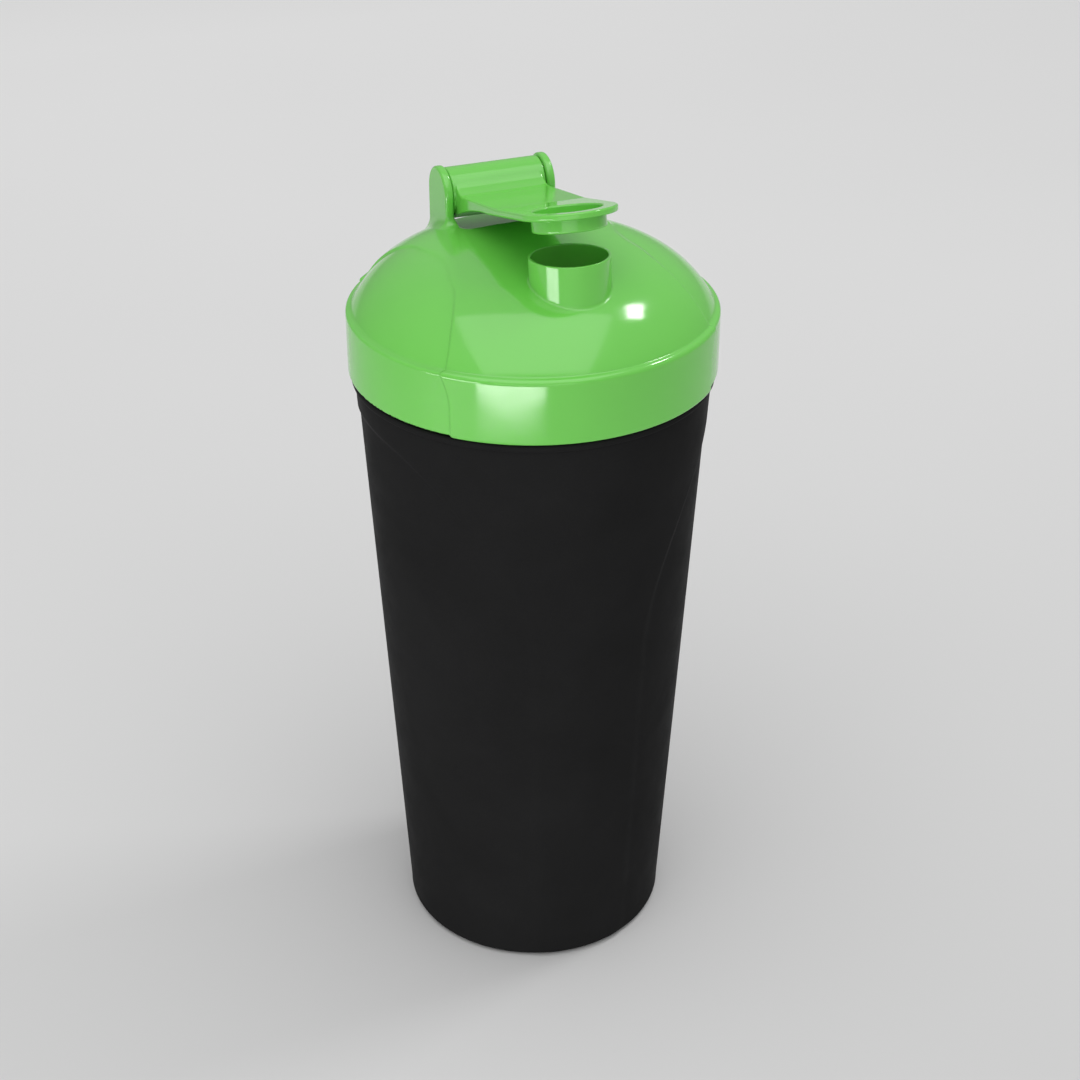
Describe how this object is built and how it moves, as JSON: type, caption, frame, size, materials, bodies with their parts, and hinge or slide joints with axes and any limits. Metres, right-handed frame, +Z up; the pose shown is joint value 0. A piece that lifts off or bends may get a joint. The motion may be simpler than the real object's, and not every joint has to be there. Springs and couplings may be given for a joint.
{
  "type": "protein shaker bottle",
  "caption": "Tapered shaker cup with a screw-on domed lid, a round spout, a hinged flip cap and a strainer in the neck.",
  "frame": {"origin": "centre of the base, on the ground", "axes": "+Z up along the cup, -Y towards the spout, +X along the hinge pin"},
  "size_m": [0.0934, 0.0944, 0.2171],
  "materials": {
    "cup_plastic": "satin",
    "lid_plastic": "glossy",
    "grid_plastic": "satin",
    "seal_rubber": "soft",
    "pin_plastic": "smooth"
  },
  "bodies": {
    "cup": {"cup": "cup_plastic", "mixing_grid": "grid_plastic"},
    "seal": {"lid_seal": "seal_rubber"},
    "lid": {"lid": "lid_plastic", "hinge_pin": "pin_plastic"},
    "flip_cap": {"flip_cap": "lid_plastic"}
  },
  "joints": [
    {"name": "lid_lift", "type": "slide", "parent": "cup", "child": "seal", "axis": [0, 0, 1], "range_m": [0, 0.00702]},
    {"name": "lid_turn", "type": "hinge", "parent": "seal", "child": "lid", "pos_m": [0, 0, 0.17], "axis": [0, 0, 1], "range_deg": [0, 504]},
    {"name": "cap_flip", "type": "hinge", "parent": "lid", "child": "flip_cap", "pos_m": [0, 0.028, 0.2029], "axis": [-1, 0, 0], "range_deg": [-10.5, 169.5]}
  ],
  "couplings": [
    {"joint": "lid_lift", "follows": "lid_turn", "m_per_rad": 0.00079577}
  ]
}
